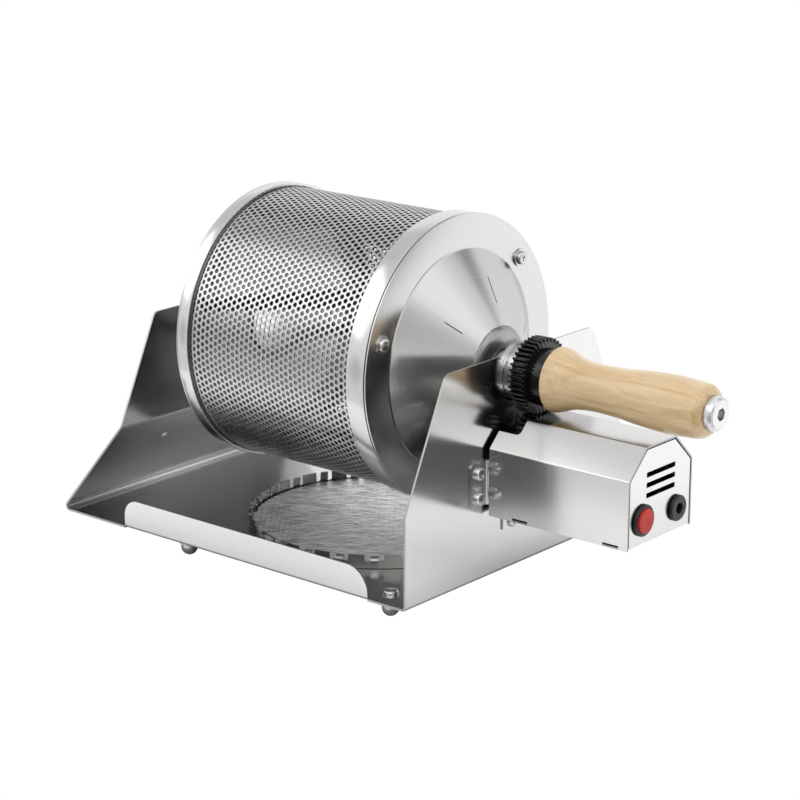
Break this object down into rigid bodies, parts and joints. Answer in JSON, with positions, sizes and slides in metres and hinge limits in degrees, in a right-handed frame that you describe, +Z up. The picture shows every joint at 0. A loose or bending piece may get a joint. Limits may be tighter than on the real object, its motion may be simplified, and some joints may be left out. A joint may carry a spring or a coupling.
{
  "type": "drum coffee roaster",
  "caption": "Small coffee roaster with a perforated steel drum turning over a slotted burner ring, driven by a geared motor and lifted out by a wooden handle.",
  "frame": {"origin": "middle of the overall footprint, on the plane of the feet", "axes": "+X along the drum axis toward the wooden handle, +Y to the back, +Z up"},
  "size_m": [0.3842, 0.1942, 0.2009],
  "materials": {
    "stainless_sheet": "brushed satin stainless sheet",
    "stainless_band": "brushed bright stainless",
    "perforated_steel": "fine perforated stainless, satin",
    "burner_steel": "plain rolled stainless strip",
    "gauze": "woven heat-proof gauze, matt",
    "screw_steel": "bright zinc and stainless fasteners",
    "axle_steel": "turned steel, satin",
    "collar_steel": "polished turned steel",
    "gear_black": "glossy black",
    "wood": "satin varnished beech",
    "aluminium_nut": "satin turned aluminium",
    "motor_steel": "plated motor can",
    "brass_pinion": "cut brass",
    "black_plastic": "moulded black",
    "red_plastic": "glossy red"
  },
  "bodies": {
    "frame": {"base_sheet": "stainless_sheet", "right_plate": "stainless_sheet", "left_panel": "stainless_sheet", "feet": "screw_steel", "foot_screws": "screw_steel", "burner_ring": "burner_steel", "gauze_pan": "gauze", "case_cover": "stainless_sheet", "case_tray": "stainless_sheet", "cover_screws": "screw_steel", "cover_nuts": "screw_steel", "tray_screws": "screw_steel", "motor_bracket": "stainless_sheet", "bracket_screws": "screw_steel", "gearbox": "motor_steel", "motor_can": "motor_steel", "switch_body": "black_plastic", "switch_nut": "black_plastic", "jack_body": "black_plastic", "jack_nut": "black_plastic"},
    "lift": {"bearing_collar": "collar_steel"},
    "drum": {"drum_shell": "perforated_steel", "left_band": "stainless_band", "right_band": "stainless_band", "left_end_cap": "stainless_band", "journal_tube": "stainless_band", "right_end_cap": "stainless_band", "neck_cap": "stainless_band", "end_cap_washers": "screw_steel", "end_cap_screws": "screw_steel", "end_cap_nuts": "screw_steel", "mixing_vanes": "stainless_sheet", "drum_axle": "axle_steel", "drum_gear": "gear_black", "handle": "wood", "handle_stud": "screw_steel", "handle_end_nut": "aluminium_nut"},
    "pinion": {"motor_shaft": "axle_steel", "pinion": "brass_pinion"},
    "switch": {"switch_cap": "red_plastic"}
  },
  "joints": [
    {"name": "drum_lift", "type": "slide", "parent": "frame", "child": "lift", "axis": [0, 0, 1], "range_m": [0, 0.06]},
    {"name": "drum_spin", "type": "hinge", "parent": "lift", "child": "drum", "pos_m": [0.06564, 0, 0.1209], "axis": [1, 0, 0], "continuous": true},
    {"name": "pinion_spin", "type": "hinge", "parent": "frame", "child": "pinion", "pos_m": [0.07664, 0, 0.0859], "axis": [1, 0, 0], "continuous": true},
    {"name": "switch_press", "type": "slide", "parent": "frame", "child": "switch", "axis": [-1, 0, 0], "range_m": [0, 0.0015], "stiffness_N_per_m": 500}
  ],
  "couplings": [
    {"joint": "pinion_spin", "follows": "drum_spin", "ratio": -1.3333}
  ]
}
